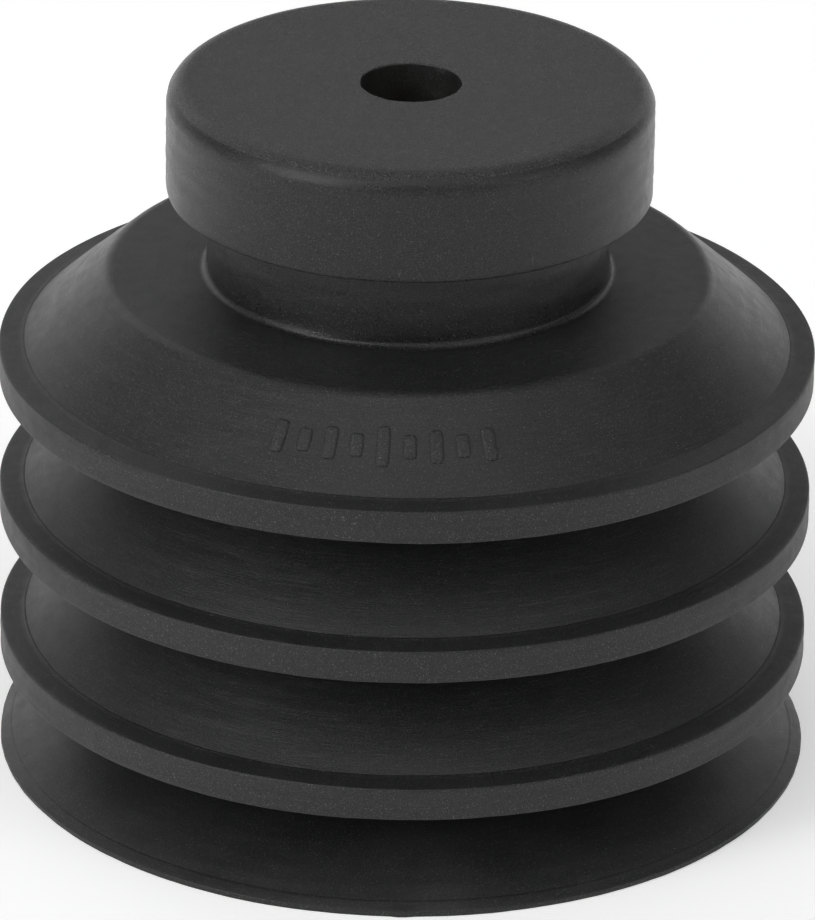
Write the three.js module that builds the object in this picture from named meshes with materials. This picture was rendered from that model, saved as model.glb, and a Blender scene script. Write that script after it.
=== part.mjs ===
// Bellows vacuum suction cup: a round head over three folds and a thin sealing lip.
// Millimetres, +Z up. The origin is the centre of the sealing lip's lower face.
//
// The cup is one elastomer moulding that works by bending along its fold lines, so it is
// divided at those lines into rings that keep their shape (ribs and waists) and conical
// walls that flex between them. A steel plate and a threaded bush are bonded in the head.

import * as THREE from 'three';

// Facets around every ring, and the gap between neighbouring pieces
const SEGMENTS = 40;
const GAP = 0.3;

// Head, with the bore that the fitting's screw passes through
const HEIGHT = 70;
const HEAD_RADIUS = 23.7;
const HEAD_EDGE = 2.1;
const HEAD_UNDERSIDE = 59.1;
const HEAD_ROOF = 5;
const BORE_RADIUS = 4.9;

// Neck under the head
const NECK_RADIUS = 19.7;
const NECK_BORE = 16;
const NECK_FILLET = 0.7;

// Steel support plate and threaded bush bonded inside the head
const PLATE_THICKNESS = 3.2;
const THREAD_RADIUS = 4.25;
const BUSH_SPIGOT_RADIUS = 6;
const BUSH_COLLAR_RADIUS = 8.5;
const BUSH_COLLAR_HEIGHT = 4.7;

// Conical walls: a shallow shoulder, then the steeper crown down to the first rib
const WALL = 2.5;
const SHOULDER_START = point(21.17, 52.98);
const SHOULDER_END = point(29.45, 50.3);

// Folds: a square-edged rib, a waist below it, and the next fold one pitch lower
const FOLDS = 3;
const FOLD_PITCH = 14.6;
const FIRST_CREASE = 43.1;
const RIB_RADIUS = 40;
const RIB_STEP = 2.4;
const RIB_STEP_DROP = 0.3;
const RIB_BAND = 3.2;
const WAIST_RADIUS = 29;
const WAIST_BORE = 26;
const WAIST_DROP = 7.2;
const CUT_LENGTH = 2.5;

// Sealing lip
const LIP_RADIUS = 40.15;
const LIP_EDGE = 0.55;
const LIP_LAND_RADIUS = 38.6;
const LIP_RING_WIDTH = 4;
const LIP_ROOT_RADIUS = 36.05;

const rubber = new THREE.MeshStandardMaterial({ color: 0x2b2d2c, roughness: 0.5, metalness: 0 });
const steel = new THREE.MeshStandardMaterial({ color: 0x9a9c9e, roughness: 0.35, metalness: 1 });
const brass = new THREE.MeshStandardMaterial({ color: 0xb58d3f, roughness: 0.3, metalness: 1 });

// A point of a section, as its radius and its height
function point(radius, height) {
  return new THREE.Vector2(radius, height);
}

// The unit direction from one point to the next
function direction(from, to) {
  return to.clone().sub(from).normalize();
}

// The point at a distance from one point towards another
function towards(from, to, distance) {
  return from.clone().addScaledVector(direction(from, to), distance);
}

// Going down a wall on its outside, the unit vector that points through it into the cup
function inward(from, to) {
  const along = direction(from, to);
  return point(along.y, -along.x);
}

// The inside point opposite an outside point of a wall
function inside(outer, from, to) {
  return outer.clone().addScaledVector(inward(from, to), WALL);
}

// The inside corner opposite an outside corner, where two walls of one thickness meet
function insideCorner(before, corner, after) {
  const sum = inward(before, corner).add(inward(corner, after));
  return corner.clone().addScaledVector(sum, 2 * WALL / sum.lengthSq());
}

// The point of the line through two points that lies at a radius
function atRadius(from, to, radius) {
  const share = (radius - from.x) / (to.x - from.x);
  return from.clone().lerp(to, share);
}

// A rounded corner: an arc tangent to both sides
function fillet(before, corner, after, radius, steps = 5) {
  const back = direction(corner, before);
  const ahead = direction(corner, after);
  const half = Math.acos(back.dot(ahead)) / 2;
  const middle = back.clone().add(ahead).normalize();
  const centre = corner.clone().addScaledVector(middle, radius / Math.sin(half));
  const start = corner.clone().addScaledVector(back, radius / Math.tan(half));
  const end = corner.clone().addScaledVector(ahead, radius / Math.tan(half));
  const from = start.clone().sub(centre).angle();
  const to = end.clone().sub(centre).angle();
  const turn = Math.atan2(Math.sin(to - from), Math.cos(to - from));
  return Array.from({ length: steps + 1 }, (_, i) => {
    const angle = from + turn * i / steps;
    return point(centre.x + radius * Math.cos(angle), centre.y + radius * Math.sin(angle));
  });
}

// A solid of revolution about +Z from its closed section
function ring(name, section, material) {
  const outline = THREE.ShapeUtils.isClockWise(section) ? section.slice().reverse() : section;
  const geometry = new THREE.LatheGeometry([...outline, outline[0]], SEGMENTS);
  geometry.rotateX(Math.PI / 2);
  const mesh = new THREE.Mesh(geometry, material);
  mesh.name = name;
  return mesh;
}

// The section of a flexing wall between two cuts, held a gap away from its neighbours
function panel(outerStart, outerEnd, innerEnd, innerStart) {
  const step = direction(outerStart, outerEnd).multiplyScalar(GAP);
  return [
    outerStart.clone().add(step),
    outerEnd.clone().sub(step),
    innerEnd.clone().sub(step),
    innerStart.clone().add(step),
  ];
}

// The points of one fold: crease, rib edges, waist, and the cuts on either side of them
function fold(index) {
  const crease = point(RIB_RADIUS - RIB_STEP, FIRST_CREASE - index * FOLD_PITCH);
  const ribTop = point(RIB_RADIUS, crease.y - RIB_STEP_DROP);
  const ribBottom = point(RIB_RADIUS, ribTop.y - RIB_BAND);
  const waist = point(WAIST_RADIUS, crease.y - WAIST_DROP);
  const before = index === 0 ? SHOULDER_END : point(WAIST_RADIUS, waist.y + FOLD_PITCH);
  const after = index === FOLDS - 1 ? point(LIP_RADIUS, LIP_EDGE) : point(crease.x, crease.y - FOLD_PITCH);
  const ribCut = towards(ribBottom, waist, CUT_LENGTH);
  const waistTopCut = towards(waist, ribBottom, CUT_LENGTH);
  const waistLowCut = towards(waist, after, CUT_LENGTH);
  return {
    crease,
    ribTop,
    ribBottom,
    waist,
    ribCut,
    waistTopCut,
    waistLowCut,
    creaseInside: inside(crease, before, crease),
    ribCutInside: inside(ribCut, ribBottom, waist),
    waistTopCutInside: inside(waistTopCut, ribBottom, waist),
    waistLowCutInside: inside(waistLowCut, waist, after),
  };
}

const plateTop = HEIGHT - HEAD_ROOF - GAP;
const plateUnderside = plateTop - PLATE_THICKNESS;
const neckTop = plateUnderside - GAP;

function headDisc() {
  const top = point(BORE_RADIUS, HEIGHT);
  const corner = point(HEAD_RADIUS, HEIGHT);
  const rim = point(HEAD_RADIUS, HEAD_UNDERSIDE);
  const pocketRadius = NECK_RADIUS + GAP;
  const section = [
    top,
    ...fillet(top, corner, rim, HEAD_EDGE),
    rim,
    point(pocketRadius, HEAD_UNDERSIDE),
    point(pocketRadius, HEIGHT - HEAD_ROOF),
    point(BORE_RADIUS, HEIGHT - HEAD_ROOF),
  ];
  return ring('head_disc', section, rubber);
}

function neckCollar() {
  const top = point(NECK_RADIUS, neckTop);
  const corner = atRadius(SHOULDER_START, SHOULDER_END, NECK_RADIUS);
  const shoulderInside = inside(SHOULDER_START, SHOULDER_START, SHOULDER_END);
  const section = [
    top,
    ...fillet(top, corner, SHOULDER_START, NECK_FILLET),
    shoulderInside,
    point(NECK_BORE, shoulderInside.y + WALL),
    point(NECK_BORE, neckTop),
  ];
  return ring('neck_collar', section, rubber);
}

function supportPlate() {
  const holeRadius = BUSH_SPIGOT_RADIUS + GAP;
  const section = [
    point(holeRadius, plateTop),
    point(NECK_RADIUS, plateTop),
    point(NECK_RADIUS, plateUnderside),
    point(holeRadius, plateUnderside),
  ];
  return ring('support_plate', section, steel);
}

function threadedBush() {
  const section = [
    point(THREAD_RADIUS, plateTop),
    point(BUSH_SPIGOT_RADIUS, plateTop),
    point(BUSH_SPIGOT_RADIUS, neckTop),
    point(BUSH_COLLAR_RADIUS, neckTop),
    point(BUSH_COLLAR_RADIUS, neckTop - BUSH_COLLAR_HEIGHT),
    point(THREAD_RADIUS, neckTop - BUSH_COLLAR_HEIGHT),
  ];
  return ring('threaded_bush', section, brass);
}

function shoulderCone(crease) {
  const start = inside(SHOULDER_START, SHOULDER_START, SHOULDER_END);
  const corner = insideCorner(SHOULDER_START, SHOULDER_END, crease);
  const gap = direction(SHOULDER_START, SHOULDER_END).multiplyScalar(GAP);
  const section = [SHOULDER_START.clone().add(gap), SHOULDER_END, corner, start.add(gap)];
  return ring('shoulder_cone', section, rubber);
}

function crownCone(first) {
  const corner = insideCorner(SHOULDER_START, SHOULDER_END, first.crease);
  return ring('crown_cone', panel(SHOULDER_END, first.crease, first.creaseInside, corner), rubber);
}

function rib(number, at) {
  const section = [at.crease, at.ribTop, at.ribBottom, at.ribCut, at.ribCutInside, at.creaseInside];
  return ring(`rib_${number}`, section, rubber);
}

function ribUnderside(number, at) {
  const section = panel(at.ribCut, at.waistTopCut, at.waistTopCutInside, at.ribCutInside);
  return ring(`rib_${number}_underside`, section, rubber);
}

function waist(number, at) {
  const above = at.ribCutInside;
  const below = at.waistLowCutInside.clone().add(direction(at.waistLowCut, at.waist));
  const section = [
    at.waistTopCut,
    at.waist,
    at.waistLowCut,
    at.waistLowCutInside,
    atRadius(at.waistLowCutInside, below, WAIST_BORE),
    atRadius(at.waistTopCutInside, above, WAIST_BORE),
    at.waistTopCutInside,
  ];
  return ring(`waist_${number}`, section, rubber);
}

function foldWall(number, above, at) {
  const section = panel(above.waistLowCut, at.crease, at.creaseInside, above.waistLowCutInside);
  return ring(`fold_${number}_wall`, section, rubber);
}

const lipEdge = point(LIP_RADIUS, LIP_EDGE);
const lipLand = point(LIP_LAND_RADIUS, 0);

function lipRoot(last) {
  const outer = towards(lipEdge, last.waist, LIP_RING_WIDTH);
  const inner = atRadius(lipLand, last.waistLowCutInside, LIP_ROOT_RADIUS);
  return { outer, inner };
}

function lipSkirt(last) {
  const root = lipRoot(last);
  const section = panel(last.waistLowCut, root.outer, root.inner, last.waistLowCutInside);
  return ring('lip_skirt', section, rubber);
}

function sealingLip(last) {
  const root = lipRoot(last);
  const section = [root.outer, lipEdge, point(LIP_RADIUS, 0), lipLand, root.inner];
  return ring('sealing_lip', section, rubber);
}

const folds = Array.from({ length: FOLDS }, (_, index) => fold(index));
const cup = new THREE.Group();
cup.add(headDisc(), supportPlate(), threadedBush(), neckCollar());
cup.add(shoulderCone(folds[0].crease), crownCone(folds[0]));
folds.forEach((at, index) => {
  if (index > 0) {
    cup.add(foldWall(index + 1, folds[index - 1], at));
  }
  cup.add(rib(index + 1, at), ribUnderside(index + 1, at), waist(index + 1, at));
});
cup.add(lipSkirt(folds[FOLDS - 1]), sealingLip(folds[FOLDS - 1]));

export default cup;
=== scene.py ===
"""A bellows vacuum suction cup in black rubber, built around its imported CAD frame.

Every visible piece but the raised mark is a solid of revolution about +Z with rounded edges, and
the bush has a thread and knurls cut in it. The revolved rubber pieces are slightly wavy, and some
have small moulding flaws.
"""
import math

import bpy
import numpy as np
from mathutils import Matrix, Vector


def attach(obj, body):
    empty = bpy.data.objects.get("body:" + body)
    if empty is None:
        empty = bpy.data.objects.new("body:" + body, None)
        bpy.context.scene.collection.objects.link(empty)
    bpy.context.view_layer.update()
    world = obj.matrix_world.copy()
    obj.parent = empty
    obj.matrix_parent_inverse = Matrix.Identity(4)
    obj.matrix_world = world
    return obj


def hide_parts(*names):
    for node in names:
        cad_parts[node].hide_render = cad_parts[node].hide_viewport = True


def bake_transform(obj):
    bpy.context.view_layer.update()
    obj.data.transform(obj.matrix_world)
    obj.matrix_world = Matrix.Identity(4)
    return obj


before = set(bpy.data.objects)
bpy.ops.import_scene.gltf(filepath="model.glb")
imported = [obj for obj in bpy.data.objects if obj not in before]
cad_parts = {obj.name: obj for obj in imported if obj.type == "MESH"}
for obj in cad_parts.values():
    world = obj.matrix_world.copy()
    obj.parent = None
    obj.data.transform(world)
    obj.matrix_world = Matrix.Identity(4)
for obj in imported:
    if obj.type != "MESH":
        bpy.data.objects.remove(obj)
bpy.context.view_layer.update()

MM = 0.001
TAU = 2 * math.pi

# ---------------------------------------------------------------------------
# Dimensions, read from the frame's own nodes


def section(node):
    """The corners of a CAD ring's section, as (radius, height) pairs."""
    points = np.array([v.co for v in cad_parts[node].data.vertices])
    corners = np.stack([np.hypot(points[:, 0], points[:, 1]), points[:, 2]], axis=1)
    return np.unique(np.round(corners, 5), axis=0)


def widest(node):
    """The corner of a CAD ring's section that is furthest from the axis."""
    corners = section(node)
    return Vector(corners[corners[:, 0].argmax()])


def highest(node):
    """The topmost corner of a CAD ring's section."""
    corners = section(node)
    return Vector(corners[corners[:, 1].argmax()])


FOLDS = 3
SAME_CORNER = 0.1 * MM
WALL = 2.5 * MM
WAIST_RADIUS = 29.0 * MM
WAIST_BORE = 26.0 * MM
WAIST_DROP = 7.2 * MM
BLEND_MARGIN = 0.4 * MM

HEAD = section("head_disc")
HEAD_TOP = HEAD[:, 1].max()
HEAD_UNDERSIDE = HEAD[:, 1].min()
HEAD_RADIUS = HEAD[:, 0].max()
BORE_RADIUS = HEAD[:, 0].min()
POCKET_RADIUS = HEAD[HEAD[:, 1] < HEAD_UNDERSIDE + SAME_CORNER][:, 0].min()
HEAD_ROOF = HEAD[HEAD[:, 0] < BORE_RADIUS + SAME_CORNER][:, 1].min()

PLATE = section("support_plate")
BUSH = section("threaded_bush")
NECK_RADIUS = PLATE[:, 0].max()
NECK_BORE = section("neck_collar")[:, 0].min()
NECK_TOP = section("neck_collar")[:, 1].max()
NECK_FILLET = 0.7 * MM

SHOULDER_START = widest("neck_collar")
SHOULDER_END = widest("shoulder_cone")

LIP = section("sealing_lip")
LIP_RADIUS = LIP[:, 0].max()
LIP_EDGE = LIP[LIP[:, 0] > LIP_RADIUS - SAME_CORNER][:, 1].max()
LIP_LAND = LIP[LIP[:, 1] < SAME_CORNER][:, 0].min()


def rib_points(number):
    """(crease, band's top edge, band's bottom edge) of a rib."""
    corners = section(f"rib_{number}")
    radius = corners[:, 0].max()
    band = corners[corners[:, 0] > radius - SAME_CORNER][:, 1]
    return highest(f"rib_{number}"), Vector((radius, band.max())), Vector((radius, band.min()))


# ---------------------------------------------------------------------------
# Plane geometry of the sections

WIDE_ARC = 1.0 * MM
WIDE_ARC_STEPS = 8
NARROW_ARC_STEPS = 4
LARGEST_SHARE = 0.49


def point(radius, height):
    return Vector((radius, height))


def at_height(a, b, height):
    """The point of the line through a and b at a height."""
    return a.lerp(b, (height - a.y) / (b.y - a.y))


def at_radius(a, b, radius):
    """The point of the line through a and b at a radius."""
    return a.lerp(b, (radius - a.x) / (b.x - a.x))


def inward(a, b):
    """Going down a wall on its outside, the unit vector that points through it into the cup."""
    along = (b - a).normalized()
    return Vector((along.y, -along.x))


def offset(a, b):
    """The inner side of the wall whose outer side runs from a to b."""
    shift = inward(a, b) * WALL
    return a + shift, b + shift


def crossing(a, b, c, d):
    """The point where the lines a-b and c-d cross."""
    first, second, between = b - a, d - c, c - a
    share = (between.x * second.y - between.y * second.x) / (first.x * second.y - first.y * second.x)
    return a + first * share


def arc(before, corner, after, radius, steps):
    """A rounded corner: points along an arc tangent to both sides. The arc takes up less than half
    of each side, whatever its radius."""
    back, ahead = (before - corner).normalized(), (after - corner).normalized()
    half = back.angle(ahead) / 2
    shorter_side = min((before - corner).length, (after - corner).length)
    reach = min(radius / math.tan(half), LARGEST_SHARE * shorter_side)
    radius = reach * math.tan(half)
    centre = corner + (back + ahead).normalized() * (radius / math.sin(half))
    start, end = corner + back * reach - centre, corner + ahead * reach - centre
    first = math.atan2(start.y, start.x)
    turn = math.atan2(end.y, end.x) - first
    turn = (turn + math.pi) % TAU - math.pi
    angles = [first + turn * i / steps for i in range(steps + 1)]
    return [centre + Vector((math.cos(a), math.sin(a))) * radius for a in angles]


def outline(corners, step):
    """Turns corners (point, radius, finish of the side that follows) into a closed outline.
    Returns its points and, for each point, the finish of the face that follows it."""
    points, finishes = [], []
    count = len(corners)
    for i, (corner, radius, finish) in enumerate(corners):
        before = corners[i - 1][0]
        after = corners[(i + 1) % count][0]
        if radius > 0:
            steps = WIDE_ARC_STEPS if radius > WIDE_ARC else NARROW_ARC_STEPS
            rounded = arc(before, corner, after, radius, steps)
        else:
            rounded = [corner]
        earlier = corners[i - 1][2]
        middle = len(rounded) // 2
        for j, place in enumerate(rounded):
            points.append(place)
            finishes.append(earlier if j < middle else finish)
        finishes[-1] = finish
    dense, dense_finishes = [], []
    for i, place in enumerate(points):
        following = points[(i + 1) % len(points)]
        parts = max(1, math.ceil((following - place).length / step))
        for j in range(parts):
            dense.append(place.lerp(following, j / parts))
            dense_finishes.append(finishes[i])
    return dense, dense_finishes


# ---------------------------------------------------------------------------
# Moulding irregularities. Each takes arrays of radius, height or azimuth, one value a vertex

rng = np.random.default_rng(7)
WAVE_COUNT = 14
WAVES = [
    (int(rng.integers(2, 11)), rng.uniform(-90, 90), rng.uniform(0, TAU), rng.uniform(0.4, 1.0))
    for _ in range(WAVE_COUNT)
]
WAVINESS = 0.045 * MM
WAVE_HEIGHT = 10 * MM
RAGGED_WAVES = (7, 13, 23, 41, 67, 97)


def waviness(height, azimuth):
    """An unevenness of the moulding: long waves round the axis, short ones from top to bottom. It
    is the same for every piece at one place, so neighbouring pieces still meet."""
    total = sum(a * np.sin(k * azimuth + m * height / WAVE_HEIGHT + p) for k, m, p, a in WAVES)
    return WAVINESS * total / len(WAVES) ** 0.5


def near(radius, height, r, z, across, up):
    """1 where radius and height are r and z, falling to 0 a few times across or up from there."""
    return np.exp(-(((radius - r) / across) ** 2 + ((height - z) / up) ** 2))


def bump_at(azimuth, centre_deg, width_deg):
    """1 at an azimuth, falling to 0 a few widths away. Azimuth 0 is the front, -Y, and grows
    towards +X."""
    away = (azimuth - math.radians(centre_deg) + math.pi) % TAU - math.pi
    return np.exp(-((away / math.radians(width_deg)) ** 2))


def ragged(azimuth, seed, amount):
    """A fine irregular edge, such as flash, between 0 and amount."""
    local = np.random.default_rng(seed)
    total = np.zeros_like(azimuth)
    for k in RAGGED_WAVES:
        total += local.uniform(0.3, 1.0) * np.sin(k * azimuth + local.uniform(0, TAU)) / k ** 0.35
    return amount * np.clip(0.5 + 0.5 * total, 0, 1)


# ---------------------------------------------------------------------------
# Materials. A mark is (length round the axis, pitch across it)

TYPICAL_RADIUS_MM = 34.0
SMALLEST_RADIUS_MM = 0.5
STREAK_ROUGHNESS = 0.6

RUBBER_DARK = (0.0068, 0.0074, 0.0071, 1)
RUBBER_PALE = (0.052, 0.054, 0.052, 1)
# Colour of the pale specks: partly real specks, partly painted glints
SPECK_AND_GLINT_COLOUR = (0.17, 0.175, 0.17, 1)
RUBBER_IOR = 1.40

FINE_MARK_MM = (2.6, 0.14)
BROAD_MARK_MM = (9.0, 0.55)
SWIRL_MARK_MM = (6.0, 0.16)
SWIRL_CENTRE_MM = (38.0, -30.0, 0.0)
CLOUDS_PER_MM = 0.10
PATCHES_PER_MM = 0.6
GRITS_PER_MM = 9.15
DOTS_PER_MM = 6.65
# Paleness of the grit in the base colour: partly real grain, partly painted glints
GRIT_AND_GLINT_PALENESS = 0.50
MARK_PALENESS = 0.36
CLOUD_DEPTH = 0.10 * MM
BROAD_MARK_DEPTH = 0.012 * MM
FINE_MARK_DEPTH = 0.018 * MM
SWIRL_DEPTH = 0.030 * MM
GRIT_DEPTH = 0.030 * MM
DOT_DEPTH = 0.012 * MM

TURNED_MARK_MM = (14.0, 0.12)
TURNED_MARK_DEPTH = 0.01 * MM
STAINS_PER_MM = 0.5
STAIN_SHADE = 0.55
STAIN_DEPTH = 0.02 * MM


def nodes_of(material):
    """A material's node tree, emptied, with a new output and principled shader."""
    material.use_nodes = True
    tree = material.node_tree
    tree.nodes.clear()
    out = tree.nodes.new("ShaderNodeOutputMaterial")
    shader = tree.nodes.new("ShaderNodeBsdfPrincipled")
    tree.links.new(shader.outputs["BSDF"], out.inputs["Surface"])
    return tree, shader


class Graph:
    """Short ways to add nodes to one tree."""

    def __init__(self, tree):
        self.tree = tree

    def put(self, socket, value):
        if isinstance(value, bpy.types.NodeSocket):
            self.tree.links.new(value, socket)
        else:
            socket.default_value = value

    def math(self, kind, a, b=0.0, clamp=False):
        node = self.tree.nodes.new("ShaderNodeMath")
        node.operation = kind
        node.use_clamp = clamp
        self.put(node.inputs[0], a)
        self.put(node.inputs[1], b)
        return node.outputs[0]

    def hypotenuse(self, a, b):
        squares = self.math("ADD", self.math("MULTIPLY", a, a), self.math("MULTIPLY", b, b))
        return self.math("SQRT", squares)

    def combine(self, x, y, z):
        node = self.tree.nodes.new("ShaderNodeCombineXYZ")
        for socket, value in zip(node.inputs, (x, y, z)):
            self.put(socket, value)
        return node.outputs[0]

    def noise(self, vector, scale, detail=3.0, roughness=0.55):
        node = self.tree.nodes.new("ShaderNodeTexNoise")
        self.put(node.inputs["Vector"], vector)
        node.inputs["Scale"].default_value = scale
        node.inputs["Detail"].default_value = detail
        node.inputs["Roughness"].default_value = roughness
        return node.outputs["Fac"]

    def remap(self, value, low, high, to_low=0.0, to_high=1.0):
        node = self.tree.nodes.new("ShaderNodeMapRange")
        self.put(node.inputs["Value"], value)
        node.inputs["From Min"].default_value = low
        node.inputs["From Max"].default_value = high
        node.inputs["To Min"].default_value = to_low
        node.inputs["To Max"].default_value = to_high
        return node.outputs["Result"]

    def mix(self, factor, a, b):
        node = self.tree.nodes.new("ShaderNodeMix")
        node.data_type = "RGBA"
        self.put(node.inputs["Factor"], factor)
        first_colour, second_colour = node.inputs[6], node.inputs[7]
        self.put(first_colour, a)
        self.put(second_colour, b)
        return node.outputs[2]

    def bump(self, height, distance, normal=None):
        node = self.tree.nodes.new("ShaderNodeBump")
        self.put(node.inputs["Height"], height)
        node.inputs["Distance"].default_value = distance
        node.inputs["Strength"].default_value = 1.0
        if normal is not None:
            self.put(node.inputs["Normal"], normal)
        return node.outputs["Normal"]


def ring_coordinates(graph):
    """Coordinates in millimetres that stay with the rubber as it bends, from the "rest" attribute:
    the plain position, the x and y of the unit vector away from the axis, and a distance that
    grows outwards and downwards along the profile."""
    tree = graph.tree
    rest = tree.nodes.new("ShaderNodeAttribute")
    rest.attribute_name = "rest"
    position = tree.nodes.new("ShaderNodeVectorMath")
    position.operation = "SCALE"
    graph.put(position.inputs[0], rest.outputs["Vector"])
    position.inputs["Scale"].default_value = 1 / MM
    parts = tree.nodes.new("ShaderNodeSeparateXYZ")
    graph.put(parts.inputs[0], position.outputs[0])
    x, y, z = parts.outputs
    radius = graph.math("MAXIMUM", graph.hypotenuse(x, y), SMALLEST_RADIUS_MM)
    profile = graph.math("SUBTRACT", radius, z)
    unit_x, unit_y = graph.math("DIVIDE", x, radius), graph.math("DIVIDE", y, radius)
    return position.outputs[0], unit_x, unit_y, profile


def offset_ring(graph, position, centre):
    """Ring coordinates about another upright axis: a unit vector's x and y, and a radius in mm."""
    tree = graph.tree
    shifted = tree.nodes.new("ShaderNodeVectorMath")
    shifted.operation = "SUBTRACT"
    graph.put(shifted.inputs[0], position)
    shifted.inputs[1].default_value = centre
    parts = tree.nodes.new("ShaderNodeSeparateXYZ")
    graph.put(parts.inputs[0], shifted.outputs[0])
    x, y = parts.outputs[0], parts.outputs[1]
    radius = graph.hypotenuse(x, y)
    return graph.math("DIVIDE", x, radius), graph.math("DIVIDE", y, radius), radius


def streaks(graph, unit_x, unit_y, profile, length, pitch, detail=3.0):
    """Noise drawn out round the axis: length along the circumference and pitch across it, in mm.
    The length is true at the typical radius, and grows in proportion to the radius."""
    around = TYPICAL_RADIUS_MM / length
    vector = graph.combine(
        graph.math("MULTIPLY", unit_x, around),
        graph.math("MULTIPLY", unit_y, around),
        graph.math("DIVIDE", profile, pitch),
    )
    return graph.noise(vector, 1.0, detail, STREAK_ROUGHNESS)


def make_rubber(name, rough, streak, grain, speck_and_glint, dust_and_painted_light, swirl=0.0):
    """Moulded black rubber. streak is the strength of the turned tool marks, grain that of the
    fine moulding texture and of the painted glints in its pale grit, speck the amount of pale specks,
    which are partly real specks and partly painted glints, dust the paleness of the worn film, which
    on the lip is mostly painted light, and swirl the strength of sanding marks that cross the turned
    ones."""
    material = bpy.data.materials.new(name)
    tree, shader = nodes_of(material)
    graph = Graph(tree)
    position, unit_x, unit_y, profile = ring_coordinates(graph)

    fine = streaks(graph, unit_x, unit_y, profile, *FINE_MARK_MM, detail=2.0)
    broad = streaks(graph, unit_x, unit_y, profile, *BROAD_MARK_MM, detail=2.0)
    cloud = graph.noise(position, CLOUDS_PER_MM, 3.0)
    patch = graph.noise(position, PATCHES_PER_MM, 4.0)
    grit = graph.noise(position, GRITS_PER_MM, 2.0, 0.7)
    dots = graph.noise(position, DOTS_PER_MM, 1.0)

    # Pale worn film; on the lip it is mostly painted light standing in for light bounced onto its
    # shaded flank
    dusty_and_lightened = graph.math("MULTIPLY", graph.remap(cloud, 0.35, 0.7), dust_and_painted_light)
    # Pale grit in the base colour: partly real grain, partly painted glints that the grit bump also
    # makes
    gritty_and_glinting = graph.math("MULTIPLY", graph.remap(grit, 0.45, 0.70), GRIT_AND_GLINT_PALENESS * grain)
    scratched = graph.math("MULTIPLY", graph.remap(fine, 0.55, 0.74), MARK_PALENESS * streak)
    pale = graph.math("ADD", graph.math("ADD", dusty_and_lightened, gritty_and_glinting), scratched, clamp=True)
    film = graph.mix(pale, RUBBER_DARK, RUBBER_PALE)
    # Sparse pale specks in the base colour: partly real specks, partly painted glints
    sparse = graph.math("MULTIPLY", graph.remap(dots, 0.64, 0.75), speck_and_glint, clamp=True)
    graph.put(shader.inputs["Base Color"], graph.mix(sparse, film, SPECK_AND_GLINT_COLOUR))

    gloss = graph.remap(patch, 0.3, 0.7, rough - 0.04, rough + 0.05)
    marked = graph.remap(fine, 0.35, 0.75, -0.04 * streak, 0.06 * streak)
    grained = graph.remap(grit, 0.4, 0.7, -0.04 * grain, 0.06 * grain)
    gloss = graph.math("ADD", graph.math("ADD", gloss, marked), grained, clamp=True)
    graph.put(shader.inputs["Roughness"], gloss)
    shader.inputs["IOR"].default_value = RUBBER_IOR

    normal = graph.bump(cloud, CLOUD_DEPTH)
    normal = graph.bump(broad, BROAD_MARK_DEPTH * streak, normal)
    normal = graph.bump(fine, FINE_MARK_DEPTH * streak, normal)
    if swirl > 0:
        around_swirl = offset_ring(graph, position, SWIRL_CENTRE_MM)
        marks = streaks(graph, *around_swirl, *SWIRL_MARK_MM, detail=2.0)
        normal = graph.bump(marks, SWIRL_DEPTH * swirl, normal)
    normal = graph.bump(grit, GRIT_DEPTH * grain, normal)
    normal = graph.bump(graph.remap(dots, 0.66, 0.76), DOT_DEPTH * grain, normal)
    graph.put(shader.inputs["Normal"], normal)
    return material


def make_metal(name, colour, rough, wear):
    """Turned metal: fine marks round the axis, and a dulled, stained film."""
    material = bpy.data.materials.new(name)
    tree, shader = nodes_of(material)
    graph = Graph(tree)
    position, unit_x, unit_y, profile = ring_coordinates(graph)
    fine = streaks(graph, unit_x, unit_y, profile, *TURNED_MARK_MM)
    stain = graph.noise(position, STAINS_PER_MM, 5.0)
    dull = tuple(c * STAIN_SHADE for c in colour) + (1.0,)
    clean = tuple(colour) + (1.0,)
    graph.put(shader.inputs["Base Color"], graph.mix(graph.remap(stain, 0.35, 0.65), dull, clean))
    gloss = graph.remap(stain, 0.35, 0.7, rough + wear, rough)
    turned = graph.remap(fine, 0.3, 0.7, -0.05, 0.05)
    graph.put(shader.inputs["Roughness"], graph.math("ADD", gloss, turned))
    shader.inputs["Metallic"].default_value = 1.0
    normal = graph.bump(fine, TURNED_MARK_DEPTH)
    graph.put(shader.inputs["Normal"], graph.bump(stain, STAIN_DEPTH, normal))
    return material


FINISHES = {
    "top": make_rubber("rubber_head_top", 0.31, 1.0, 2.6, 1.00, 0.04, swirl=1.0),
    "side": make_rubber("rubber_head_side", 0.31, 0.3, 1.2, 0.45, 0.0),
    "cone": make_rubber("rubber_cone", 0.36, 0.8, 1.0, 0.35, 0.10),
    "wall": make_rubber("rubber_fold_wall", 0.38, 1.0, 1.0, 0.22, 0.04),
    "step": make_rubber("rubber_rib_step", 0.42, 0.5, 1.2, 0.40, 0.12),
    "band": make_rubber("rubber_rib_band", 0.45, 0.1, 1.4, 0.50, 0.03),
    # The lip's paleness (0.20) is mostly painted light: it brightens the shaded lip in place of bounced
    # light
    "lip": make_rubber("rubber_lip", 0.38, 0.35, 0.9, 0.30, 0.20),
    "mark": make_rubber("rubber_raised_mark", 0.44, 0.0, 2.0, 0.80, 0.12),
    "inside": make_rubber("rubber_inside", 0.42, 0.3, 0.8, 0.20, 0.05),
    "steel": make_metal("plate_steel", (0.56, 0.57, 0.58), 0.32, 0.2),
    "brass": make_metal("bush_brass", (0.74, 0.55, 0.25), 0.26, 0.22),
}

# ---------------------------------------------------------------------------
# Mesh building

SEGMENTS = 320
LONGEST_STEP = 0.55 * MM


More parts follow.
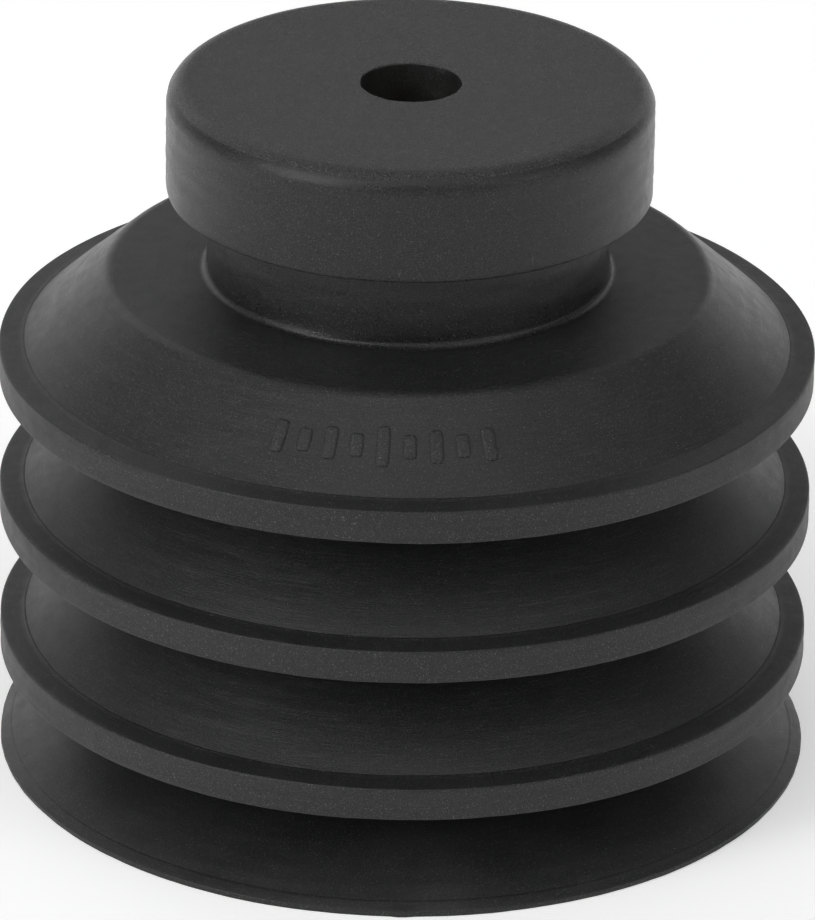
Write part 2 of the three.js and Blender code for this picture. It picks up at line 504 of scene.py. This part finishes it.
def make_mesh(name, vertices, faces, finishes, sharp_deg=35):
    """A piece from vertices, faces and the finish of each face, smooth but for its sharp edges."""
    mesh = bpy.data.meshes.new(name)
    mesh.from_pydata([tuple(v) for v in vertices], [], faces)
    used = sorted(set(finishes))
    for finish in used:
        mesh.materials.append(FINISHES[finish])
    mesh.polygons.foreach_set("material_index", [used.index(f) for f in finishes])
    mesh.polygons.foreach_set("use_smooth", [True] * len(faces))
    rest = mesh.attributes.new("rest", "FLOAT_VECTOR", "POINT")
    rest.data.foreach_set("vector", np.asarray(vertices, np.float32).ravel())
    mesh.update()
    mesh.set_sharp_from_angle(angle=math.radians(sharp_deg))
    piece = bpy.data.objects.new(name, mesh)
    bpy.context.scene.collection.objects.link(piece)
    return piece


def revolve(name, corners, shape=None, step=LONGEST_STEP, segments=SEGMENTS, wavy=True, sharp_deg=35):
    """A solid of revolution about +Z from the corners of its section. shape takes arrays of radius,
    height and azimuth and returns what to add to the radius and to the height."""
    points, finishes = outline(corners, step)
    count = len(points)
    azimuth = np.arange(segments) * TAU / segments
    radius = np.array([p.x for p in points])[None, :].repeat(segments, 0)
    height = np.array([p.y for p in points])[None, :].repeat(segments, 0)
    azimuths = azimuth[:, None].repeat(count, 1)
    radius_wave = waviness(height, azimuths) if wavy else 0
    if shape is not None:
        more_radius, more_height = shape(radius, height, azimuths)
        radius, height = radius + more_radius, height + more_height
    radius = radius + radius_wave
    vertices = np.stack([radius * np.sin(azimuths), -radius * np.cos(azimuths), height], axis=2)
    faces, face_finishes = [], []
    for i in range(segments):
        here, there = i * count, (i + 1) % segments * count
        for j in range(count):
            following = (j + 1) % count
            faces.append((here + j, here + following, there + following, there + j))
            face_finishes.append(finishes[j])
    signed_area = sum(p.cross(q) for p, q in zip(points, points[1:] + points[:1]))
    if signed_area > 0:
        faces = [tuple(reversed(f)) for f in faces]
    return make_mesh(name, vertices.reshape(-1, 3), faces, face_finishes, sharp_deg)


def finish_piece(piece, slot, *nodes):
    """Hides the CAD nodes that a piece stands for. slot is not used."""
    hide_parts(*nodes)


# ---------------------------------------------------------------------------
# The head and what is bonded in it

BORE_FLASH_SEED = 3

THREAD_PITCH = 1.5 * MM
THREAD_DEPTH = 0.75 * MM
THREAD_RUNOUT = 0.8 * MM
THREAD_END_SHARE = 0.6
KNURLS = 48
KNURL_DEPTH = 0.2 * MM
KNURL_MARGIN = 0.5 * MM
ON_SURFACE = 0.05 * MM

NECK_FILLET_STEPS = 12


def build_head():
    def flaws(radius, height, azimuth):
        """The torn flash round the top of the bore."""
        rim = near(radius, height, BORE_RADIUS, HEAD_TOP, 0.35 * MM, 0.5 * MM)
        torn = rim * (ragged(azimuth, BORE_FLASH_SEED, 0.10 * MM) - 0.04 * MM)
        return -torn, torn * 0.3

    corners = [
        (point(BORE_RADIUS, HEAD_ROOF), 0.1 * MM, "inside"),
        (point(POCKET_RADIUS, HEAD_ROOF), 0.2 * MM, "inside"),
        (point(POCKET_RADIUS, HEAD_UNDERSIDE), 0.1 * MM, "side"),
        (point(HEAD_RADIUS, HEAD_UNDERSIDE), 0.22 * MM, "side"),
        (point(HEAD_RADIUS, HEAD_TOP), 2.1 * MM, "top"),
        (point(BORE_RADIUS, HEAD_TOP), 0.18 * MM, "inside"),
    ]
    piece = revolve("head_disc_rubber", corners, flaws)
    finish_piece(piece, "rubber", "head_disc")
    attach(piece, "head")


def build_plate():
    low, high = PLATE[:, 1].min(), PLATE[:, 1].max()
    inner, outer = PLATE[:, 0].min(), PLATE[:, 0].max()
    edge = 0.3 * MM
    rectangle = ((inner, low), (outer, low), (outer, high), (inner, high))
    corners = [(point(r, z), edge, "steel") for r, z in rectangle]
    piece = revolve("support_plate_steel", corners, step=1.5 * MM, segments=160, wavy=False)
    finish_piece(piece, "plate_steel", "support_plate")
    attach(piece, "head")


def zigzag(turns):
    """From 1 down to 0 and back, once a turn."""
    return np.abs((turns % 1.0) * 2 - 1)


def build_bush():
    low, high = BUSH[:, 1].min(), BUSH[:, 1].max()
    bore, collar = BUSH[:, 0].min(), BUSH[:, 0].max()
    spigot = BUSH[BUSH[:, 1] > high - SAME_CORNER][:, 0].max()
    shoulder = BUSH[BUSH[:, 0] > collar - SAME_CORNER][:, 1].max()

    def cut(radius, height, azimuth):
        """A helical thread in the bore, running out at both ends, and straight knurls round the
        collar, between two plain margins."""
        groove = zigzag((height - low) / THREAD_PITCH - azimuth / TAU)
        full = np.clip(np.minimum(height - low, high - height) / THREAD_RUNOUT, 0, 1)
        thread = THREAD_DEPTH * groove * full + (1 - full) * THREAD_DEPTH * THREAD_END_SHARE
        in_bore = radius < bore + ON_SURFACE
        knurl = -KNURL_DEPTH * zigzag(azimuth * KNURLS / TAU)
        between = (height < shoulder - KNURL_MARGIN) & (height > low + KNURL_MARGIN)
        on_collar = (radius > collar - ON_SURFACE) & between
        return np.where(in_bore, thread, 0) + np.where(on_collar, knurl, 0), np.zeros_like(radius)

    corners = [
        (point(bore, low), 0.0, "brass"),
        (point(collar, low), 0.35 * MM, "brass"),
        (point(collar, shoulder), 0.35 * MM, "brass"),
        (point(spigot, shoulder), 0.1 * MM, "brass"),
        (point(spigot, high), 0.3 * MM, "brass"),
        (point(bore, high), 0.0, "brass"),
    ]
    piece = revolve(
        "threaded_bush_brass", corners, cut, step=0.18 * MM, segments=192, wavy=False, sharp_deg=28
    )
    finish_piece(piece, "bush_brass", "threaded_bush")
    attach(piece, "head")


def build_neck():
    """The neck, with a fillet where its side runs out into the shoulder."""
    top = point(NECK_RADIUS, NECK_TOP)
    corner = at_radius(SHOULDER_END, SHOULDER_START, NECK_RADIUS)
    beyond = SHOULDER_START + (SHOULDER_START - corner)
    fillet = arc(top, corner, beyond, NECK_FILLET, NECK_FILLET_STEPS)
    outer = [top] + [p for p in fillet if p.y > SHOULDER_START.y] + [SHOULDER_START]
    corners = [(p, 0.0, "side") for p in outer[:-1]]
    corners += [
        (outer[-1], 0.0, "inside"),
        (point(NECK_BORE, SHOULDER_START.y), 0.0, "inside"),
        (point(NECK_BORE, NECK_TOP), 0.0, "inside"),
    ]
    piece = revolve("neck_collar_rubber", corners)
    finish_piece(piece, "rubber", "neck_collar")
    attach(piece, "head")


# ---------------------------------------------------------------------------
# The cones and folds. Each piece is cut off level, so that a wall meets its neighbours
# all through its thickness.

ribs = {number: rib_points(number) for number in range(1, FOLDS + 1)}
waists = {number: point(WAIST_RADIUS, ribs[number][0].y - WAIST_DROP) for number in ribs}
lip_edge = point(LIP_RADIUS, LIP_EDGE)

BREAK_RADIUS = 2.6 * MM
BREAK_DEPTH = 0.9 * MM
CROWN_TOP = SHOULDER_END.y - BREAK_DEPTH
WAIST_HALF = 0.35 * MM
SKIRT_FULL_WALL_MM = 2.5
LIP_CUT_HEIGHT = 1.2 * MM

BEAD_SEED = 10
BAND_FLASH_SEED = 20
LIP_SEED = 31
BAND_FLASH_WIDTH_DEG = 34
LIP_TRIM = 0.8 * MM


def wall_above(number):
    """The outer side of the wall that ends at a rib's crease: where it starts and ends."""
    start = SHOULDER_END if number == 1 else waists[number - 1]
    return start, ribs[number][0]


def wall_below(number):
    """The outer side of the wall below a waist."""
    end = lip_edge if number == FOLDS else ribs[number + 1][0]
    return waists[number], end


def lip_inner_side():
    """The inner side of the lip's skirt. It thins towards the land that touches the work."""
    along = (lip_edge - waists[FOLDS]).normalized()
    full_wall = waists[FOLDS] + along * SKIRT_FULL_WALL_MM * MM
    return full_wall + inward(waists[FOLDS], lip_edge) * WALL, point(LIP_LAND, 0)


def build_shoulder():
    crown = wall_above(1)
    inner = offset(SHOULDER_START, SHOULDER_END)
    corners = [
        (SHOULDER_START, 0.0, "cone"),
        (SHOULDER_END, BREAK_RADIUS, "cone"),
        (at_height(*crown, CROWN_TOP), 0.0, "inside"),
        (at_height(*inner, CROWN_TOP), 0.0, "inside"),
        (inner[0], 0.6 * MM, "inside"),
        (point(NECK_BORE, inner[0].y + WALL - 0.2 * MM), 0.0, "inside"),
        (point(NECK_BORE, SHOULDER_START.y), 0.0, "inside"),
    ]
    piece = revolve("shoulder_cone_rubber", corners)
    finish_piece(piece, "rubber", "shoulder_cone")
    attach(piece, "head")


def build_crown():
    outer = wall_above(1)
    top, bottom = CROWN_TOP, outer[1].y
    shoulder_inner = offset(SHOULDER_START, SHOULDER_END)
    inner = offset(*outer)
    corners = [
        (at_height(*outer, top), 0.0, "cone"),
        (outer[1], 0.0, "inside"),
        (at_height(*inner, bottom), 0.0, "inside"),
        (crossing(*shoulder_inner, *inner), 1.0 * MM, "inside"),
        (at_height(*shoulder_inner, top), 0.0, "inside"),
    ]
    piece = revolve("crown_cone_rubber", corners)
    finish_piece(piece, "rubber", "crown_cone")
    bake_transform(piece)


def rib_cut_height(number):
    return ribs[number][2].y - BLEND_MARGIN


def build_rib(number):
    crease, band_top, band_bottom = ribs[number]
    waist = waists[number]
    cut = rib_cut_height(number)
    upper_inner = offset(*wall_above(number))
    lower_inner = offset(band_bottom, waist)

    def flaws(radius, height, azimuth):
        """A fine bead of flash along the crease, and flash under the front of the band."""
        bead = near(radius, height, crease.x + 0.06 * MM, crease.y, 0.10 * MM, 0.12 * MM)
        bead = bead * (0.05 * MM + ragged(azimuth, BEAD_SEED + number, 0.07 * MM))
        low_edge = near(radius, height, *band_bottom, 0.3 * MM, 0.25 * MM)
        front = bump_at(azimuth, -8 + 4 * number, BAND_FLASH_WIDTH_DEG)
        flash = low_edge * front * ragged(azimuth, BAND_FLASH_SEED + number, 0.14 * MM)
        return flash * 0.3, bead - flash * 0.6

    corners = [
        (crease, 0.0, "step"),
        (crease + (band_top - crease) * 0.06, 0.0, "step"),
        (crease + (band_top - crease) * 0.12, 0.0, "step"),
        (band_top, 0.2 * MM, "band"),
        (band_bottom, 0.2 * MM, "inside"),
        (at_height(band_bottom, waist, cut), 0.0, "inside"),
        (at_height(*lower_inner, cut), 0.0, "inside"),
        (crossing(*upper_inner, *lower_inner), 1.0 * MM, "inside"),
        (at_height(*upper_inner, crease.y), 0.0, "inside"),
    ]
    piece = revolve(f"rib_{number}_rubber", corners, flaws, step=0.4 * MM)
    finish_piece(piece, "rubber", f"rib_{number}")
    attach(piece, f"rib_{number}")


def build_underside(number):
    """The wall from a rib's band down to the waist below."""
    outer = (ribs[number][2], waists[number])
    top, bottom = rib_cut_height(number), outer[1].y + WAIST_HALF
    inner = offset(*outer)
    corners = [
        (at_height(*outer, top), 0.0, "wall"),
        (at_height(*outer, bottom), 0.0, "inside"),
        (point(WAIST_BORE, bottom), 0.0, "inside"),
        (at_radius(*inner, WAIST_BORE), 0.9 * MM, "inside"),
        (at_height(*inner, top), 0.0, "inside"),
    ]
    piece = revolve(f"rib_{number}_underside_rubber", corners)
    finish_piece(piece, "rubber", f"rib_{number}_underside")
    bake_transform(piece)


def build_waist(number):
    waist = waists[number]
    top, bottom = waist.y + WAIST_HALF, waist.y - WAIST_HALF
    band_bottom = ribs[number][2]
    corners = [
        (at_height(band_bottom, waist, top), 0.0, "wall"),
        (waist, 0.25 * MM, "wall"),
        (at_height(*wall_below(number), bottom), 0.0, "inside"),
        (point(WAIST_BORE, bottom), 0.0, "inside"),
        (point(WAIST_BORE, top), 0.0, "inside"),
    ]
    piece = revolve(f"waist_{number}_rubber", corners)
    finish_piece(piece, "rubber", f"waist_{number}")
    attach(piece, f"waist_{number}")


def build_fold_wall(number):
    """The wall from the waist above down to a rib's crease."""
    outer = wall_above(number)
    top, bottom = outer[0].y - WAIST_HALF, outer[1].y
    inner = offset(*outer)
    corners = [
        (at_height(*outer, top), 0.0, "wall"),
        (outer[1], 0.0, "inside"),
        (at_height(*inner, bottom), 0.0, "inside"),
        (at_radius(*inner, WAIST_BORE), 0.3 * MM, "inside"),
        (point(WAIST_BORE, top), 0.0, "inside"),
    ]
    piece = revolve(f"fold_{number}_wall_rubber", corners)
    finish_piece(piece, "rubber", f"fold_{number}_wall")
    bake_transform(piece)


def build_lip_skirt():
    outer = wall_below(FOLDS)
    top, bottom = outer[0].y - WAIST_HALF, LIP_CUT_HEIGHT
    inner = lip_inner_side()
    corners = [
        (at_height(*outer, top), 0.0, "lip"),
        (at_height(*outer, bottom), 0.0, "inside"),
        (at_height(*inner, bottom), 0.0, "inside"),
        (at_radius(*inner, WAIST_BORE), 0.3 * MM, "inside"),
        (point(WAIST_BORE, top), 0.0, "inside"),
    ]
    piece = revolve("lip_skirt_rubber", corners)
    finish_piece(piece, "rubber", "lip_skirt")
    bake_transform(piece)


def build_sealing_lip():
    outer, inner = wall_below(FOLDS), lip_inner_side()

    def flaws(radius, height, azimuth):
        """The trimmed, slightly uneven edge of the lip, and the moulding's gate mark at the front."""
        edge = np.clip((radius - (LIP_RADIUS - LIP_TRIM)) / LIP_TRIM, 0, 1)
        uneven = -edge * ragged(azimuth, LIP_SEED, 0.10 * MM)
        gate = edge * bump_at(azimuth, 0.5, 1.1) * 0.25 * MM
        return uneven + gate, np.zeros_like(radius)

    corners = [
        (at_height(*outer, LIP_CUT_HEIGHT), 0.0, "lip"),
        (lip_edge, 0.12 * MM, "band"),
        (point(LIP_RADIUS, 0), 0.12 * MM, "lip"),
        (point(LIP_LAND, 0), 0.0, "lip"),
        (at_height(*inner, LIP_CUT_HEIGHT), 0.0, "inside"),
    ]
    piece = revolve("sealing_lip_rubber", corners, flaws, step=0.3 * MM)
    finish_piece(piece, "rubber", "sealing_lip")
    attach(piece, "lip")


build_head()
build_plate()
build_bush()
build_neck()
build_shoulder()
build_crown()
for number in range(1, FOLDS + 1):
    if number > 1:
        build_fold_wall(number)
    build_rib(number)
    build_underside(number)
    build_waist(number)
build_lip_skirt()
build_sealing_lip()

# ---------------------------------------------------------------------------
# The generic raised mark on the crown: a plain graduated scale

MARK_AZIMUTH_DEG = -3.5
MARK_ABOVE_CREASE_MM = 5.3
TICKS = 9
TICK_SPACING_DEG = 4.3
TICK_WIDTH = 1.3 * MM
MIDDLE_LENGTH = 4.2 * MM
LONG_LENGTH = 3.4 * MM
SHORT_LENGTH = 2.4 * MM
TICK_RISE = 0.22 * MM
TICK_SINK = 0.4 * MM
TICK_SIDES = 28
TICK_ROUNDNESS = 0.4


def build_mark():
    """Raised ticks moulded on the front of the crown: the middle one the longest, and every other
    one of the rest short."""
    start, end = wall_above(1)
    along = (end - start).normalized()
    outward = -inward(start, end)
    middle = end - along * MARK_ABOVE_CREASE_MM * MM
    vertices, faces = [], []
    for tick in range(TICKS):
        away = tick - (TICKS - 1) // 2
        length = MIDDLE_LENGTH if away == 0 else (LONG_LENGTH if away % 2 == 0 else SHORT_LENGTH)
        azimuth = math.radians(MARK_AZIMUTH_DEG + away * TICK_SPACING_DEG)
        tick_vertices, tick_faces = tick_solid(middle, along, outward, azimuth, length)
        base = len(vertices)
        vertices += tick_vertices
        faces += [tuple(base + i for i in f) for f in tick_faces]
    finishes = ["mark"] * len(faces)
    piece = make_mesh("raised_scale_mark", vertices, faces, finishes, 40)
    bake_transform(piece)


def tick_solid(middle, along, outward, azimuth, length):
    """One raised bar with rounded ends and edges, lying on the cone and sunk into it. Its rings
    are (growth of its outline, height above the cone), from the sunk end up."""
    rings = [
        (0.0, -TICK_SINK),
        (0.0, 0.35 * TICK_RISE),
        (-0.10 * MM, 0.85 * TICK_RISE),
        (-0.24 * MM, TICK_RISE),
    ]
    around = TICK_SIDES
    vertices, faces = [], []
    for growth, level in rings:
        half_width, half_length = TICK_WIDTH / 2 + growth, length / 2 + growth
        for i in range(around):
            turn = TAU * i / around
            x = superellipse(math.cos(turn), half_width)
            y = superellipse(math.sin(turn), half_length)
            spot = middle + along * y + outward * level
            swing = azimuth + x / spot.x
            vertices.append((spot.x * math.sin(swing), -spot.x * math.cos(swing), spot.y))
    for k in range(len(rings) - 1):
        for i in range(around):
            j = (i + 1) % around
            a, b = k * around, (k + 1) * around
            faces.append((a + i, a + j, b + j, b + i))
    faces.append(tuple((len(rings) - 1) * around + i for i in range(around)))
    faces.append(tuple(reversed(range(around))))
    return vertices, faces


def superellipse(share, half):
    """One coordinate of a squared oval, from the cosine or sine of its angle and its half width."""
    return math.copysign(abs(share) ** TICK_ROUNDNESS, share) * half


build_mark()

# ---------------------------------------------------------------------------
# The studio: a pale floor, soft light and a long lens

FLOOR_HALF = 6.0
FLOOR_DARKER = (0.90, 0.90, 0.90, 1)
FLOOR_PALER = (0.93, 0.93, 0.93, 1)
FLOOR_GLOW = 0.28

# The glows are (azimuth, elevation, width, strength), in degrees but for the strength
ROOM_LEVEL = 0.139
GLOWS = (
    (0, 50, 20, 0.35),
    (-52, 22, 7, 14.0),
    (59, 22, 7, 6.5),
    (-60, 35, 24, 0.85),
    (60, 35, 24, 0.48),
    (-148, 30, 22, 0.98),
    (148, 30, 22, 0.4),
    (-155, 6, 8, 1.2),
    (155, 6, 8, 1.7),
    (180, 22, 22, 0.12),
    (0, 68, 24, 1.5),
)

SOFTBOX_AIM = Vector((0, 0, 0.035))
SOFTBOX_DISTANCE = 1.2
SOFTBOX_SIZE = (0.36, 0.5)
SOFTBOX_WATTS = 2.3

CAMERA_AIM = Vector((0.25 * MM, 0, 29.73 * MM))
CAMERA_DISTANCE = 0.8
CAMERA_ELEVATION = math.radians(24.83)
CAMERA_ROLL = math.radians(0.94)
CAMERA_LENS_MM = 316.8


def build_floor():
    """A pale, faintly clouded and faintly glowing floor under the cup."""
    mesh = bpy.data.meshes.new("studio_floor")
    size = FLOOR_HALF
    corners = [(-size, -size, 0), (size, -size, 0), (size, size, 0), (-size, size, 0)]
    mesh.from_pydata(corners, [], [(0, 1, 2, 3)])
    material = bpy.data.materials.new("studio_floor_paint")
    tree, shader = nodes_of(material)
    graph = Graph(tree)
    place = tree.nodes.new("ShaderNodeTexCoord")
    cloud = graph.noise(place.outputs["Object"], 3.0, 2.0)
    graph.put(shader.inputs["Base Color"], graph.mix(cloud, FLOOR_DARKER, FLOOR_PALER))
    shader.inputs["Roughness"].default_value = 0.9
    shader.inputs["Specular IOR Level"].default_value = 0.0
    shader.inputs["Emission Color"].default_value = (1, 1, 1, 1)
    shader.inputs["Emission Strength"].default_value = FLOOR_GLOW
    mesh.materials.append(material)
    floor = bpy.data.objects.new("studio_floor", mesh)
    bpy.context.scene.collection.objects.link(floor)


def facing(azimuth_deg, elevation_deg):
    """A unit vector. Azimuth 0 is in front, -Y, and grows towards +X."""
    azimuth, elevation = math.radians(azimuth_deg), math.radians(elevation_deg)
    return Vector((
        math.sin(azimuth) * math.cos(elevation),
        -math.cos(azimuth) * math.cos(elevation),
        math.sin(elevation),
    ))


def build_world():
    """The light of the room: one even level, with soft glows in some directions."""
    world = bpy.data.worlds.new("studio")
    bpy.context.scene.world = world
    world.use_nodes = True
    tree = world.node_tree
    tree.nodes.clear()
    graph = Graph(tree)
    out = tree.nodes.new("ShaderNodeOutputWorld")
    background = tree.nodes.new("ShaderNodeBackground")
    tree.links.new(background.outputs[0], out.inputs["Surface"])
    place = tree.nodes.new("ShaderNodeTexCoord")
    level = ROOM_LEVEL
    for azimuth, elevation, width, strength in GLOWS:
        along = tree.nodes.new("ShaderNodeVectorMath")
        along.operation = "DOT_PRODUCT"
        graph.put(along.inputs[0], place.outputs["Generated"])
        along.inputs[1].default_value = facing(azimuth, elevation)
        sharpness = 1 / (1 - math.cos(math.radians(width)))
        falling = graph.math("MULTIPLY", graph.math("SUBTRACT", along.outputs["Value"], 1.0), sharpness)
        glow = graph.math("MULTIPLY", graph.math("EXPONENT", falling), strength)
        level = graph.math("ADD", level, glow)
    graph.put(background.inputs["Color"], graph.combine(level, level, level))
    background.inputs["Strength"].default_value = 1.0


def add_softbox(name, azimuth_deg, elevation_deg):
    """A rectangular area light aimed at the cup."""
    light = bpy.data.lights.new(name, "AREA")
    light.shape = "RECTANGLE"
    light.size, light.size_y = SOFTBOX_SIZE
    light.energy = SOFTBOX_WATTS
    lamp = bpy.data.objects.new(name, light)
    away = facing(azimuth_deg, elevation_deg)
    lamp.location = SOFTBOX_AIM + away * SOFTBOX_DISTANCE
    lamp.rotation_euler = away.to_track_quat("Z", "Y").to_euler()
    bpy.context.scene.collection.objects.link(lamp)


def build_camera():
    """The photograph's viewing angle: 25 degrees above level, almost straight on, with a long lens."""
    data = bpy.data.cameras.new("camera")
    data.sensor_fit = "AUTO"
    data.sensor_width = 36.0
    data.lens = CAMERA_LENS_MM
    data.clip_end = 50.0
    camera = bpy.data.objects.new("camera", data)
    back = Vector((0, -math.cos(CAMERA_ELEVATION), math.sin(CAMERA_ELEVATION)))
    camera.location = CAMERA_AIM + back * CAMERA_DISTANCE
    turned = back.to_track_quat("Z", "Y").to_matrix() @ Matrix.Rotation(CAMERA_ROLL, 3, "Z")
    camera.rotation_euler = turned.to_euler()
    bpy.context.scene.collection.objects.link(camera)
    bpy.context.scene.camera = camera


build_floor()
build_world()
add_softbox("softbox_left", -55, 30)
build_camera()
bpy.context.scene.view_settings.view_transform = "Standard"
